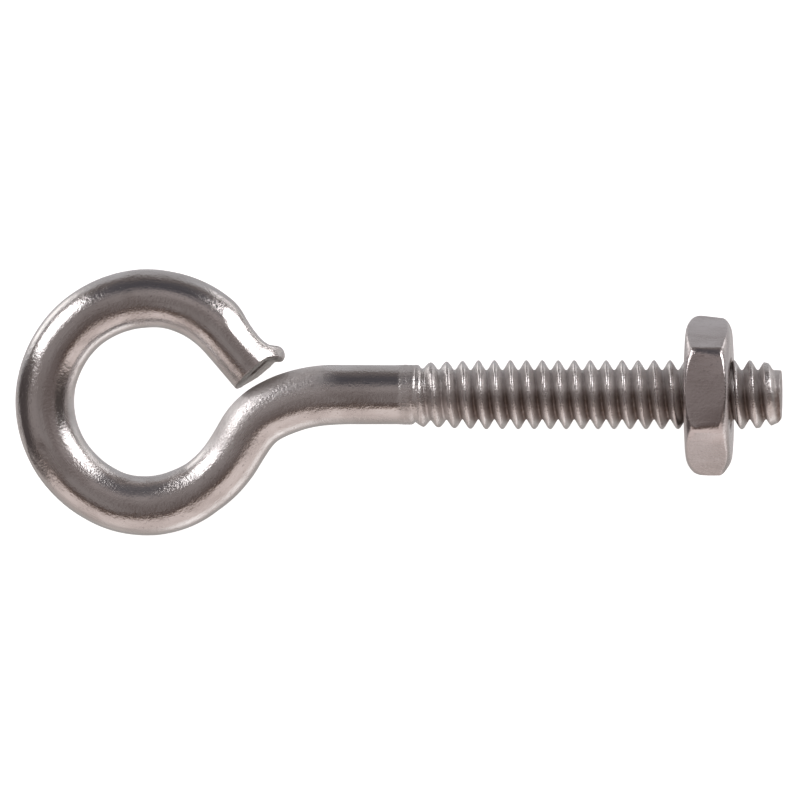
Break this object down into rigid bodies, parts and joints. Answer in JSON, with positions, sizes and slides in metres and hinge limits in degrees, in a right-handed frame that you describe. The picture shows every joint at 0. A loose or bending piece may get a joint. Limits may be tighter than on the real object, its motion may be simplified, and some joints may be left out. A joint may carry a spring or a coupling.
{
  "type": "eye bolt",
  "caption": "Turned wire eye bolt: an open round eye bent in line with a plain shank, a rolled right-hand thread and a chamfered hexagon nut that screws along it.",
  "frame": {"origin": "centre of the eye opening, at mid-thickness of the wire", "axes": "+X along the shank from the eye to the free end, +Z square to the plane of the eye, +Y in the plane of the eye toward the side where the cut end of the wire is; the shank axis lies 0.5 mm on the +Y side of the origin"},
  "size_m": [0.0508, 0.0176, 0.0098],
  "materials": {
    "wire_steel": "drawn and tumbled stainless wire, bright with soft streaks",
    "nut_steel": "cold-formed stainless, finely brushed flats"
  },
  "bodies": {
    "bolt": {"eye_bolt": "wire_steel"},
    "nut_carriage": {"nut_bearing_face": "nut_steel"},
    "nut": {"hex_nut": "nut_steel"}
  },
  "joints": [
    {"name": "nut_travel", "type": "slide", "parent": "bolt", "child": "nut_carriage", "axis": [1, 0, 0], "range_m": [-0.01642, 0.00636]},
    {"name": "nut_turn", "type": "hinge", "parent": "nut_carriage", "child": "nut", "pos_m": [0.03723, 0.0005, 0], "axis": [1, 0, 0], "range_deg": [-5580, 2160]}
  ],
  "couplings": [
    {"joint": "nut_travel", "follows": "nut_turn", "m_per_rad": 0.00016843}
  ]
}
